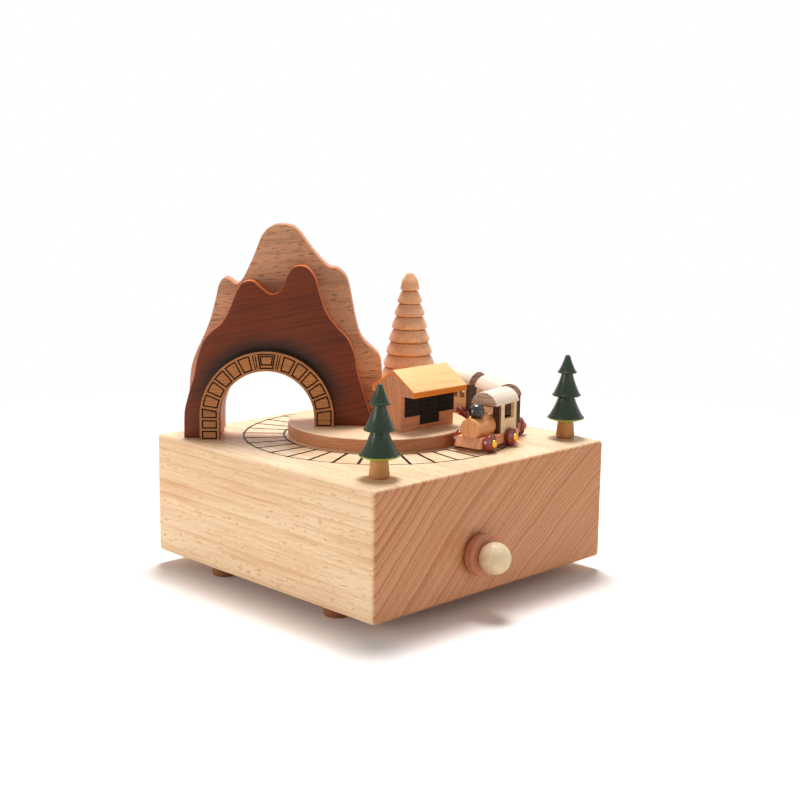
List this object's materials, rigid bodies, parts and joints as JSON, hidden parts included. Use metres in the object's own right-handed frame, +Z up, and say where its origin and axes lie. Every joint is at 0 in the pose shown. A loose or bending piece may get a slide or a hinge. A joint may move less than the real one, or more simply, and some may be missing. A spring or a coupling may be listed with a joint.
{
  "type": "music box",
  "caption": "Square wooden music box with a winding knob; a magnet under the top drags a small train round a track and through a tunnel.",
  "frame": {"origin": "on the ground, level with the undersides of the feet, under the middle of the whole box with its winding knob", "axes": "+Z up, +X out of the side with the winding knob, -Y out of the side left of it in the picture"},
  "size_m": [0.128, 0.115, 0.1248],
  "materials": {
    "case_beech": "satin clear lacquer",
    "cover_ply": "bare",
    "foot_wood": "bare",
    "platform_beech": "satin clear lacquer",
    "mountain_walnut": "satin",
    "mountain_oak": "satin",
    "arch_wood": "satin, burnt joints",
    "house_wood": "satin",
    "roof_wood": "satin",
    "window_black": "stained black",
    "tree_beech": "satin",
    "tree_green": "painted matt green",
    "trunk_wood": "satin",
    "frame_zinc": "plated",
    "plain_steel": "bright",
    "gear_brass": "turned",
    "pinion_resin": "moulded",
    "carrier_resin": "moulded",
    "magnet_nickel": "nickel plated",
    "knob_disc_wood": "satin",
    "knob_ball_wood": "satin",
    "chassis_wood": "satin",
    "boiler_wood": "satin",
    "dome_wood": "satin",
    "ball_black": "gloss black",
    "cab_maple": "satin",
    "train_roof_wood": "satin",
    "train_brass": "polished",
    "wheel_red": "gloss dark red"
  },
  "bodies": {
    "case": {"case_block": "case_beech", "bottom_cover": "cover_ply", "screws": "plain_steel", "feet": "foot_wood", "platform": "platform_beech", "mountain_front": "mountain_walnut", "mountain_back": "mountain_oak", "tunnel_arch": "arch_wood", "house_body": "house_wood", "house_roof": "roof_wood", "house_windows": "window_black", "beech_tree": "tree_beech", "tree_canopies": "tree_green", "tree_trunks": "trunk_wood", "movement_frame": "frame_zinc", "comb": "plain_steel", "spring_barrel": "plain_steel", "mainspring": "plain_steel", "carrier_pivot": "plain_steel"},
    "carrier": {"magnet_carrier": "carrier_resin", "carrier_magnets": "magnet_nickel"},
    "main_wheel": {"main_wheel": "gear_brass"},
    "knob": {"knob_disc": "knob_disc_wood", "knob_ball": "knob_ball_wood", "winding_arbor": "plain_steel"},
    "drum": {"drum_barrel": "gear_brass", "drum_arbor": "plain_steel", "drum_wheel": "gear_brass", "output_pinion": "pinion_resin"},
    "governor": {"governor_wheel": "gear_brass"},
    "fly": {"governor_fly": "plain_steel"},
    "loco": {"loco_chassis": "chassis_wood", "loco_boiler": "boiler_wood", "loco_dome": "dome_wood", "loco_chimney": "ball_black", "loco_cab": "cab_maple", "loco_roof": "train_roof_wood", "loco_brass": "train_brass", "loco_magnet": "magnet_nickel"},
    "car_one": {"car_one_chassis": "chassis_wood", "car_one_body": "cab_maple", "car_one_roof": "train_roof_wood", "car_one_brass": "train_brass"},
    "car_two": {"car_two_chassis": "chassis_wood", "car_two_body": "cab_maple", "car_two_roof": "train_roof_wood", "car_two_brass": "train_brass", "car_two_magnet": "magnet_nickel"},
    "loco_wheel_1": {"loco_wheel_1": "wheel_red"},
    "loco_wheel_2": {"loco_wheel_2": "wheel_red"},
    "loco_wheel_3": {"loco_wheel_3": "wheel_red"},
    "loco_wheel_4": {"loco_wheel_4": "wheel_red"},
    "car_one_wheel_1": {"car_one_wheel_1": "wheel_red"},
    "car_one_wheel_2": {"car_one_wheel_2": "wheel_red"},
    "car_one_wheel_3": {"car_one_wheel_3": "wheel_red"},
    "car_one_wheel_4": {"car_one_wheel_4": "wheel_red"},
    "car_two_wheel_1": {"car_two_wheel_1": "wheel_red"},
    "car_two_wheel_2": {"car_two_wheel_2": "wheel_red"},
    "car_two_wheel_3": {"car_two_wheel_3": "wheel_red"},
    "car_two_wheel_4": {"car_two_wheel_4": "wheel_red"}
  },
  "joints": [
    {"name": "carrier_turn", "type": "hinge", "parent": "case", "child": "carrier", "pos_m": [-0.01045, 0.003, 0.0395], "axis": [0, 0, 1], "continuous": true},
    {"name": "main_wheel_turn", "type": "hinge", "parent": "case", "child": "main_wheel", "pos_m": [0.03275, -0.01002, 0.0195], "axis": [1, 0, 0], "continuous": true},
    {"name": "knob_wind", "type": "hinge", "parent": "main_wheel", "child": "knob", "pos_m": [0.05355, -0.01002, 0.0195], "axis": [1, 0, 0], "continuous": true},
    {"name": "drum_turn", "type": "hinge", "parent": "case", "child": "drum", "pos_m": [0.02205, 0.003, 0.0288], "axis": [1, 0, 0], "continuous": true},
    {"name": "governor_turn", "type": "hinge", "parent": "case", "child": "governor", "pos_m": [0.02655, -0.02262, 0.02434], "axis": [1, 0, 0], "continuous": true},
    {"name": "fly_turn", "type": "hinge", "parent": "case", "child": "fly", "pos_m": [0.02655, -0.02942, 0.02434], "axis": [0, 0, 1], "continuous": true},
    {"name": "loco_run", "type": "hinge", "parent": "case", "child": "loco", "pos_m": [-0.01045, 0.003, 0.0485], "axis": [0, 0, 1], "continuous": true},
    {"name": "loco_wheel_1_roll", "type": "hinge", "parent": "loco", "child": "loco_wheel_1", "pos_m": [0.03736, 0.01068, 0.05175], "axis": [0.9863, 0.165, 0], "continuous": true},
    {"name": "loco_wheel_2_roll", "type": "hinge", "parent": "loco", "child": "loco_wheel_2", "pos_m": [0.03505, 0.02448, 0.05175], "axis": [0.9863, 0.165, 0], "continuous": true},
    {"name": "loco_wheel_3_roll", "type": "hinge", "parent": "loco", "child": "loco_wheel_3", "pos_m": [0.02503, 0.00861, 0.05175], "axis": [0.9863, 0.165, 0], "continuous": true},
    {"name": "loco_wheel_4_roll", "type": "hinge", "parent": "loco", "child": "loco_wheel_4", "pos_m": [0.02272, 0.02242, 0.05175], "axis": [0.9863, 0.165, 0], "continuous": true},
    {"name": "car_one_run", "type": "hinge", "parent": "case", "child": "car_one", "pos_m": [-0.01045, 0.003, 0.0485], "axis": [0, 0, 1], "continuous": true},
    {"name": "car_one_wheel_1_roll", "type": "hinge", "parent": "car_one", "child": "car_one_wheel_1", "pos_m": [0.02399, 0.04191, 0.05175], "axis": [0.4661, 0.8847, 0], "continuous": true},
    {"name": "car_one_wheel_2_roll", "type": "hinge", "parent": "car_one", "child": "car_one_wheel_2", "pos_m": [0.01161, 0.04844, 0.05175], "axis": [0.4661, 0.8847, 0], "continuous": true},
    {"name": "car_one_wheel_3_roll", "type": "hinge", "parent": "car_one", "child": "car_one_wheel_3", "pos_m": [0.01816, 0.03085, 0.05175], "axis": [0.4661, 0.8847, 0], "continuous": true},
    {"name": "car_one_wheel_4_roll", "type": "hinge", "parent": "car_one", "child": "car_one_wheel_4", "pos_m": [0.00578, 0.03738, 0.05175], "axis": [0.4661, 0.8847, 0], "continuous": true},
    {"name": "car_two_run", "type": "hinge", "parent": "case", "child": "car_two", "pos_m": [-0.01045, 0.003, 0.0485], "axis": [0, 0, 1], "continuous": true},
    {"name": "car_two_wheel_1_roll", "type": "hinge", "parent": "car_two", "child": "car_two_wheel_1", "pos_m": [-0.00445, 0.05218, 0.05175], "axis": [-0.0204, 0.9998, 0], "continuous": true},
    {"name": "car_two_wheel_2_roll", "type": "hinge", "parent": "car_two", "child": "car_two_wheel_2", "pos_m": [-0.01845, 0.0519, 0.05175], "axis": [-0.0204, 0.9998, 0], "continuous": true},
    {"name": "car_two_wheel_3_roll", "type": "hinge", "parent": "car_two", "child": "car_two_wheel_3", "pos_m": [-0.0042, 0.03968, 0.05175], "axis": [-0.0204, 0.9998, 0], "continuous": true},
    {"name": "car_two_wheel_4_roll", "type": "hinge", "parent": "car_two", "child": "car_two_wheel_4", "pos_m": [-0.01819, 0.0394, 0.05175], "axis": [-0.0204, 0.9998, 0], "continuous": true}
  ],
  "couplings": [
    {"joint": "main_wheel_turn", "follows": "carrier_turn", "ratio": 2.1053},
    {"joint": "drum_turn", "follows": "carrier_turn", "ratio": -3.0769},
    {"joint": "governor_turn", "follows": "carrier_turn", "ratio": -5},
    {"joint": "fly_turn", "follows": "carrier_turn", "ratio": -50},
    {"joint": "loco_run", "follows": "carrier_turn", "ratio": 1},
    {"joint": "loco_wheel_1_roll", "follows": "carrier_turn", "ratio": -15.133},
    {"joint": "loco_wheel_2_roll", "follows": "carrier_turn", "ratio": -15.133},
    {"joint": "loco_wheel_3_roll", "follows": "carrier_turn", "ratio": -11.226},
    {"joint": "loco_wheel_4_roll", "follows": "carrier_turn", "ratio": -11.226},
    {"joint": "car_one_run", "follows": "carrier_turn", "ratio": 1},
    {"joint": "car_one_wheel_1_roll", "follows": "carrier_turn", "ratio": -15.775},
    {"joint": "car_one_wheel_2_roll", "follows": "carrier_turn", "ratio": -15.775},
    {"joint": "car_one_wheel_3_roll", "follows": "carrier_turn", "ratio": -11.868},
    {"joint": "car_one_wheel_4_roll", "follows": "carrier_turn", "ratio": -11.868},
    {"joint": "car_two_run", "follows": "carrier_turn", "ratio": 1},
    {"joint": "car_two_wheel_1_roll", "follows": "carrier_turn", "ratio": -15.328},
    {"joint": "car_two_wheel_2_roll", "follows": "carrier_turn", "ratio": -15.328},
    {"joint": "car_two_wheel_3_roll", "follows": "carrier_turn", "ratio": -11.422},
    {"joint": "car_two_wheel_4_roll", "follows": "carrier_turn", "ratio": -11.422}
  ]
}
